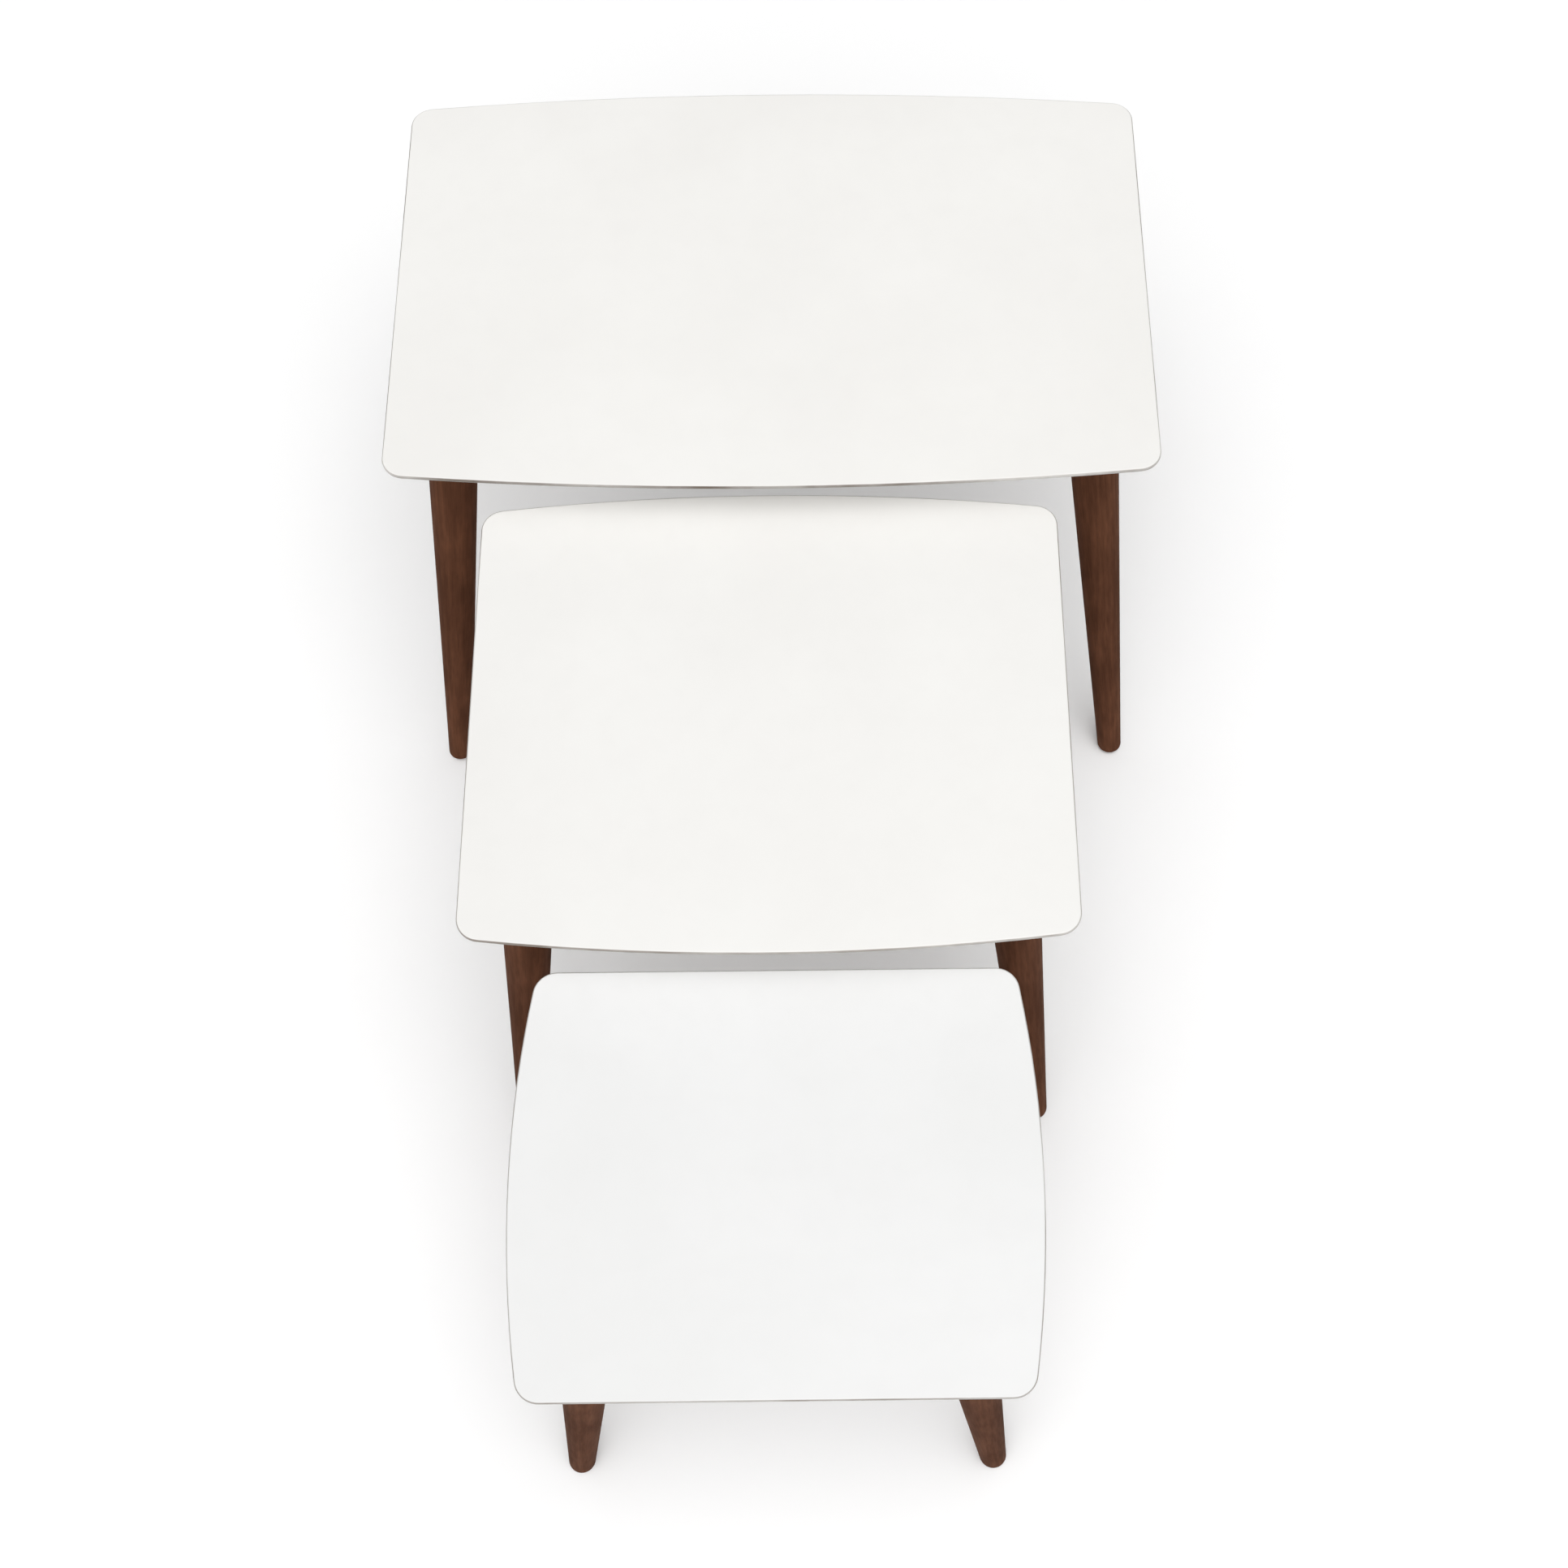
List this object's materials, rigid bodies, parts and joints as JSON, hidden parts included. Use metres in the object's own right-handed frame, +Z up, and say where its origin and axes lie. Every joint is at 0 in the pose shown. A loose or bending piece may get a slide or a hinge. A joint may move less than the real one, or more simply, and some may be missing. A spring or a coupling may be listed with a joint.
{
  "type": "nesting tables",
  "caption": "Nest of tables in graded sizes: white lacquered tops with bowed long sides and thin edges on splayed, tapered walnut legs; the smaller ones slide under the larger.",
  "frame": {"origin": "on the floor, at the middle of the three tables' arrangement", "axes": "+X along the large table to the right, +Y from the small table in front to the large table behind, +Z up"},
  "size_m": [0.659, 1.0817, 0.48],
  "materials": {
    "white_lacquer": "satin white lacquer on board",
    "walnut": "dark walnut, satin oil",
    "beech": "plain sanded",
    "zinc_steel": "bright zinc plated",
    "yellow_zinc": "yellow zinc plated",
    "glide_plastic": "dark brown nylon"
  },
  "bodies": {
    "large_table": {"large_top": "white_lacquer", "large_front_left_leg": "walnut", "large_front_right_leg": "walnut", "large_back_left_leg": "walnut", "large_back_right_leg": "walnut", "large_left_rail": "walnut", "large_right_rail": "walnut", "large_front_rail": "walnut", "large_back_rail": "walnut", "large_front_left_block": "beech", "large_front_right_block": "beech", "large_back_left_block": "beech", "large_back_right_block": "beech", "large_leg_bolts": "zinc_steel", "large_bolt_washers": "zinc_steel", "large_bolt_nuts": "zinc_steel", "large_top_screws": "yellow_zinc", "large_rail_dowels": "beech", "large_glides": "glide_plastic"},
    "middle_table": {"middle_top": "white_lacquer", "middle_front_left_leg": "walnut", "middle_front_right_leg": "walnut", "middle_back_left_leg": "walnut", "middle_back_right_leg": "walnut", "middle_left_rail": "walnut", "middle_right_rail": "walnut", "middle_front_rail": "walnut", "middle_back_rail": "walnut", "middle_front_left_block": "beech", "middle_front_right_block": "beech", "middle_back_left_block": "beech", "middle_back_right_block": "beech", "middle_leg_bolts": "zinc_steel", "middle_bolt_washers": "zinc_steel", "middle_bolt_nuts": "zinc_steel", "middle_top_screws": "yellow_zinc", "middle_rail_dowels": "beech", "middle_glides": "glide_plastic"},
    "small_table": {"small_top": "white_lacquer", "small_front_left_leg": "walnut", "small_front_right_leg": "walnut", "small_back_left_leg": "walnut", "small_back_right_leg": "walnut", "small_left_rail": "walnut", "small_right_rail": "walnut", "small_front_rail": "walnut", "small_back_rail": "walnut", "small_front_left_block": "beech", "small_front_right_block": "beech", "small_back_left_block": "beech", "small_back_right_block": "beech", "small_leg_bolts": "zinc_steel", "small_bolt_washers": "zinc_steel", "small_bolt_nuts": "zinc_steel", "small_top_screws": "yellow_zinc", "small_rail_dowels": "beech", "small_glides": "glide_plastic"}
  },
  "joints": [
    {"name": "middle_slide", "type": "slide", "parent": "large_table", "child": "middle_table", "axis": [0, 1, 0], "range_m": [0, 0.368]},
    {"name": "small_turn", "type": "hinge", "parent": "large_table", "child": "small_table", "pos_m": [0.001, -0.379, 0], "axis": [0, 0, 1], "continuous": true}
  ]
}
